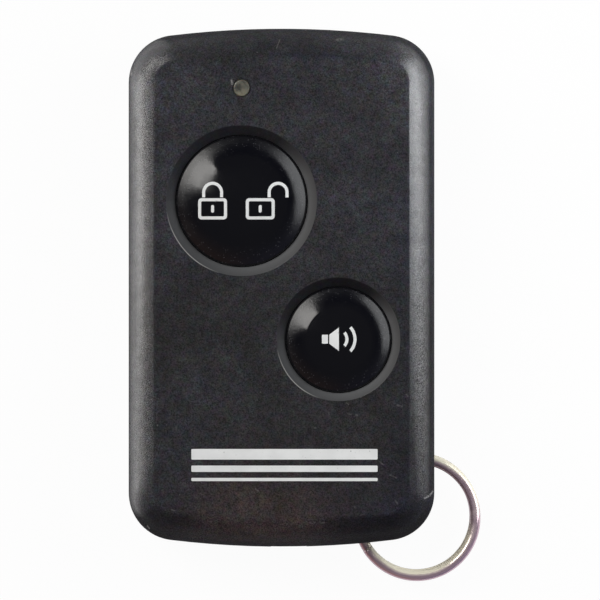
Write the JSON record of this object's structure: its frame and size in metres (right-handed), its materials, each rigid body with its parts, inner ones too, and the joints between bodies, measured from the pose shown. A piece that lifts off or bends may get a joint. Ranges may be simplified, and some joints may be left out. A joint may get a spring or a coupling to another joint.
{
  "type": "car key fob",
  "caption": "Slim two-button remote key fob with bowed ends, two round domed buttons in dished wells, an indicator lamp and a split ring through a corner slot.",
  "frame": {"origin": "middle of the case's flat back face", "axes": "+Z out of the front face with the buttons, +Y towards the end with the lamp, +X towards the side with the split ring"},
  "size_m": [0.0415, 0.0651, 0.0138],
  "materials": {
    "case_plastic": "satin black moulded plastic with a fine grain",
    "button_plastic": "polished black moulded plastic",
    "lens_plastic": "milky clear plastic",
    "ring_nickel": "nickel plated spring steel, polished",
    "screw_steel": "zinc plated steel",
    "board_laminate": "glass-filled board under green solder mask",
    "switch_plastic": "black moulded plastic",
    "contact_metal": "tinned spring steel",
    "lamp_resin": "tinted clear resin",
    "battery_steel": "nickel plated steel can",
    "battery_sleeve": "shrunk plastic sleeve",
    "foam": "closed-cell foam",
    "chip_resin": "moulded epoxy",
    "coil_coating": "dipped epoxy coating",
    "ceramic": "fired ceramic",
    "copper": "tinned copper"
  },
  "bodies": {
    "case": {"front_shell": "case_plastic", "back_shell": "case_plastic", "lamp_lens": "lens_plastic", "case_screw": "screw_steel", "board_screws": "screw_steel", "circuit_board": "board_laminate", "lamp": "lamp_resin", "lamp_leads": "contact_metal", "battery_cell": "battery_steel", "battery_sleeve": "battery_sleeve", "battery_pad": "foam", "positive_contact": "contact_metal", "negative_contact": "contact_metal", "negative_spring": "contact_metal", "encoder_chip": "chip_resin", "encoder_pins": "contact_metal", "oscillator_transistor": "chip_resin", "trimmer_body": "ceramic", "trimmer_rotor": "contact_metal", "choke_coil": "coil_coating", "antenna_loop": "copper", "chip_resistors": "chip_resin", "chip_capacitors": "ceramic", "arm_switch_base": "switch_plastic", "arm_switch_cover": "contact_metal", "arm_switch_dome": "contact_metal", "arm_switch_terminals": "contact_metal", "panic_switch_base": "switch_plastic", "panic_switch_cover": "contact_metal", "panic_switch_dome": "contact_metal", "panic_switch_terminals": "contact_metal"},
    "arm_button_body": {"arm_button": "button_plastic", "arm_switch_plunger": "switch_plastic"},
    "panic_button_body": {"panic_button": "button_plastic", "panic_switch_plunger": "switch_plastic"},
    "key_ring": {"split_ring": "ring_nickel"}
  },
  "joints": [
    {"name": "arm_press", "type": "slide", "parent": "case", "child": "arm_button_body", "axis": [0, 0, -1], "range_m": [0, 0.0004], "stiffness_N_per_m": 3000, "springref_m": -0.0002, "deforming": ["arm_switch_dome"]},
    {"name": "panic_press", "type": "slide", "parent": "case", "child": "panic_button_body", "axis": [0, 0, -1], "range_m": [0, 0.0004], "stiffness_N_per_m": 3000, "springref_m": -0.0002, "deforming": ["panic_switch_dome"]},
    {"name": "ring_swing", "type": "hinge", "parent": "case", "child": "key_ring", "pos_m": [0.0132, -0.0253, 0.00354], "axis": [0, 0, 1], "range_deg": [-37, 19]}
  ]
}
